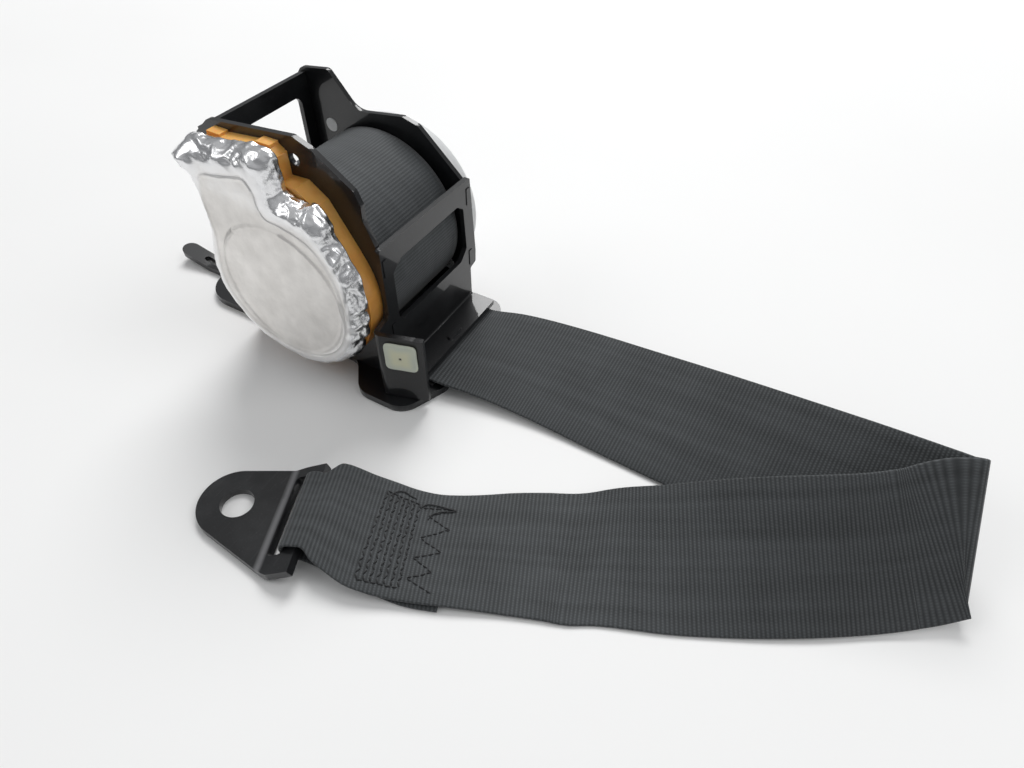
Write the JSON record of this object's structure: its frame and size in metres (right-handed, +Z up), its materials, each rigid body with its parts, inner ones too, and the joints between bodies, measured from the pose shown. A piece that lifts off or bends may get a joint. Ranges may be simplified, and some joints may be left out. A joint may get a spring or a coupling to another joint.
{
  "type": "car seat belt retractor",
  "caption": "Car seat belt retractor on a mounting plate, with its foil-capped lock mechanism, wound webbing and a free length looped on a cranked anchor plate.",
  "frame": {"origin": "centre of the retractor's mounting bolt hole, in the underside of its base plate", "axes": "+Z up from the mounting face along the bolt, +X forward, the way the webbing leaves, +Y from the locking side to the spring side, along the spool"},
  "size_m": [0.3441, 0.1579, 0.0976],
  "materials": {
    "black_steel": "gloss black paint over pressed steel",
    "foil": "bright crumpled foil",
    "amber_plastic": "amber, faintly clear moulded plastic",
    "cream_plastic": "off-white moulded plastic",
    "dark_plastic": "black moulded plastic",
    "plain_steel": "plain machined steel",
    "polished_steel": "polished ball",
    "spring_steel": "blued spring strip",
    "cast_zinc": "die-cast light alloy",
    "foam": "off-white soft foam pad",
    "webbing": "charcoal ribbed polyester webbing"
  },
  "bodies": {
    "retractor": {"base_plate": "black_steel", "frame_rivets": "black_steel", "front_plate": "black_steel", "heat_shield_foil": "foil", "lever_pin": "plain_steel", "mechanism_cover": "amber_plastic", "retractor_frame": "black_steel", "return_spring": "spring_steel", "sensor_ball": "polished_steel", "sensor_housing": "cream_plastic", "spool_bush": "dark_plastic", "spring_case_plate": "cream_plastic", "spring_cover": "cream_plastic", "square_pad": "foam", "webbing_guide": "dark_plastic", "webbing_strap": "webbing"},
    "winding": {"spool": "cast_zinc", "torsion_bar": "plain_steel", "locking_base": "cast_zinc", "pawl_pin": "plain_steel", "webbing_roll": "webbing", "spring_arbor": "cream_plastic"},
    "lock_gear": {"lock_gear": "dark_plastic"},
    "lock_pawl": {"lock_pawl": "plain_steel"},
    "sensor_lever": {"sensor_lever": "dark_plastic"},
    "anchor": {"anchor_plate": "black_steel"}
  },
  "joints": [
    {"name": "spool_spin", "type": "hinge", "parent": "retractor", "child": "winding", "pos_m": [0.0585, 0, 0.042], "axis": [0, 1, 0], "continuous": true},
    {"name": "gear_lag", "type": "hinge", "parent": "winding", "child": "lock_gear", "pos_m": [0.0585, -0.0296, 0.042], "axis": [0, 1, 0], "range_deg": [0, 20]},
    {"name": "pawl_swing", "type": "hinge", "parent": "winding", "child": "lock_pawl", "pos_m": [0.0692, -0.0272, 0.051], "axis": [0, 1, 0], "range_deg": [0, 14]},
    {"name": "lever_swing", "type": "hinge", "parent": "retractor", "child": "sensor_lever", "pos_m": [0.0495, -0.0306, 0.075], "axis": [0, 1, 0], "range_deg": [0, 8]},
    {"name": "anchor_swing", "type": "hinge", "parent": "retractor", "child": "anchor", "pos_m": [0.1075, -0.096, 0.00615], "axis": [-0.3907, 0.9205, 0], "range_deg": [-40, 90]}
  ],
  "couplings": [
    {"joint": "pawl_swing", "follows": "gear_lag", "ratio": 0.7}
  ]
}
